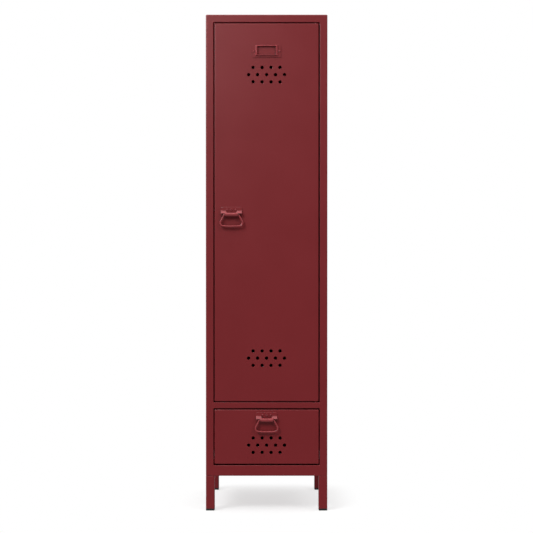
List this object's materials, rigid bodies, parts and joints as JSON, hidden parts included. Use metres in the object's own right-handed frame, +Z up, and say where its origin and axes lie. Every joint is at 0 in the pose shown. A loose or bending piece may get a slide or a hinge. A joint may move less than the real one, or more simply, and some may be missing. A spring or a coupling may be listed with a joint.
{
  "type": "metal locker with door and drawer",
  "caption": "Tall narrow wine-red steel locker on square legs, with a vented right-hung door, a drawer below it, bail handles and a card holder.",
  "frame": {"origin": "on the floor under the middle of the bounding box, handles and rear screw heads included", "axes": "+Z up, +X to the right as seen from the front, -Y out of the front, where the door and the drawer open"},
  "size_m": [0.38, 0.4149, 1.55],
  "materials": {
    "wine_red_paint": "satin powder coat",
    "zinc_steel": "zinc plated",
    "black_plastic": "moulded",
    "white_nylon": "moulded",
    "black_rubber": "matte",
    "magnet_ferrite": "sintered",
    "bright_rail": "polished"
  },
  "bodies": {
    "carcass": {"front_frame": "wine_red_paint", "left_side_panel": "wine_red_paint", "right_side_panel": "wine_red_paint", "top_panel": "wine_red_paint", "bottom_panel": "wine_red_paint", "back_panel": "wine_red_paint", "locker_floor": "wine_red_paint", "hat_shelf": "wine_red_paint", "left_rail_hanger": "wine_red_paint", "right_rail_hanger": "wine_red_paint", "front_left_leg": "wine_red_paint", "front_right_leg": "wine_red_paint", "rear_left_leg": "wine_red_paint", "rear_right_leg": "wine_red_paint", "upper_hinge_pin": "wine_red_paint", "lower_hinge_pin": "wine_red_paint", "left_runner_support": "wine_red_paint", "right_runner_support": "wine_red_paint", "shelf_clips": "zinc_steel", "rail_hanger_screws": "zinc_steel", "leg_bolts": "zinc_steel", "back_panel_screws": "zinc_steel", "catch_pole_plates": "zinc_steel", "catch_screws": "zinc_steel", "left_cabinet_runner": "zinc_steel", "right_cabinet_runner": "zinc_steel", "cabinet_roller_axles": "zinc_steel", "front_left_foot": "black_plastic", "front_right_foot": "black_plastic", "rear_left_foot": "black_plastic", "rear_right_foot": "black_plastic", "catch_case": "black_plastic", "door_bumpers": "black_rubber", "catch_magnet": "magnet_ferrite", "hanging_rail": "bright_rail"},
    "door": {"door_panel": "wine_red_paint", "door_stiffener": "wine_red_paint", "upper_door_hinge_plate": "wine_red_paint", "lower_door_hinge_plate": "wine_red_paint", "strike_plate": "zinc_steel", "label_holder": "wine_red_paint", "label_holder_rivets": "wine_red_paint", "door_handle_plate": "wine_red_paint", "door_handle_screws": "wine_red_paint"},
    "door_bail": {"door_bail": "wine_red_paint"},
    "drawer": {"drawer_front": "wine_red_paint", "left_drawer_side": "wine_red_paint", "right_drawer_side": "wine_red_paint", "drawer_bottom": "wine_red_paint", "drawer_back": "wine_red_paint", "left_drawer_runner": "zinc_steel", "right_drawer_runner": "zinc_steel", "drawer_roller_axles": "zinc_steel", "drawer_handle_plate": "wine_red_paint", "drawer_handle_screws": "wine_red_paint"},
    "drawer_bail": {"drawer_bail": "wine_red_paint"},
    "left_cabinet_roller": {"left_cabinet_roller": "white_nylon"},
    "right_cabinet_roller": {"right_cabinet_roller": "white_nylon"},
    "left_drawer_roller": {"left_drawer_roller": "white_nylon"},
    "right_drawer_roller": {"right_drawer_roller": "white_nylon"}
  },
  "joints": [
    {"name": "door_hinge", "type": "hinge", "parent": "carcass", "child": "door", "pos_m": [0.153, -0.18735, 0.93325], "axis": [0, 0, 1], "range_deg": [0, 110]},
    {"name": "door_bail_swing", "type": "hinge", "parent": "door", "child": "door_bail", "pos_m": [-0.11, -0.20145, 0.926], "axis": [-1, 0, 0], "range_deg": [0, 90]},
    {"name": "drawer_slide", "type": "slide", "parent": "carcass", "child": "drawer", "axis": [0, -1, 0], "range_m": [0, 0.27]},
    {"name": "drawer_bail_swing", "type": "hinge", "parent": "drawer", "child": "drawer_bail", "pos_m": [0, -0.20145, 0.2842], "axis": [-1, 0, 0], "range_deg": [0, 90]},
    {"name": "left_cabinet_roller_spin", "type": "hinge", "parent": "carcass", "child": "left_cabinet_roller", "pos_m": [-0.15975, -0.14875, 0.1693], "axis": [1, 0, 0], "continuous": true},
    {"name": "left_drawer_roller_spin", "type": "hinge", "parent": "drawer", "child": "left_drawer_roller", "pos_m": [-0.15975, 0.16065, 0.1689], "axis": [1, 0, 0], "continuous": true},
    {"name": "right_cabinet_roller_spin", "type": "hinge", "parent": "carcass", "child": "right_cabinet_roller", "pos_m": [0.15975, -0.14875, 0.1693], "axis": [1, 0, 0], "continuous": true},
    {"name": "right_drawer_roller_spin", "type": "hinge", "parent": "drawer", "child": "right_drawer_roller", "pos_m": [0.15975, 0.16065, 0.1689], "axis": [1, 0, 0], "continuous": true}
  ],
  "couplings": [
    {"joint": "left_cabinet_roller_spin", "follows": "drawer_slide", "rad_per_m": 93.458},
    {"joint": "left_drawer_roller_spin", "follows": "drawer_slide", "rad_per_m": 95.238},
    {"joint": "right_cabinet_roller_spin", "follows": "drawer_slide", "rad_per_m": 93.458},
    {"joint": "right_drawer_roller_spin", "follows": "drawer_slide", "rad_per_m": 95.238}
  ]
}
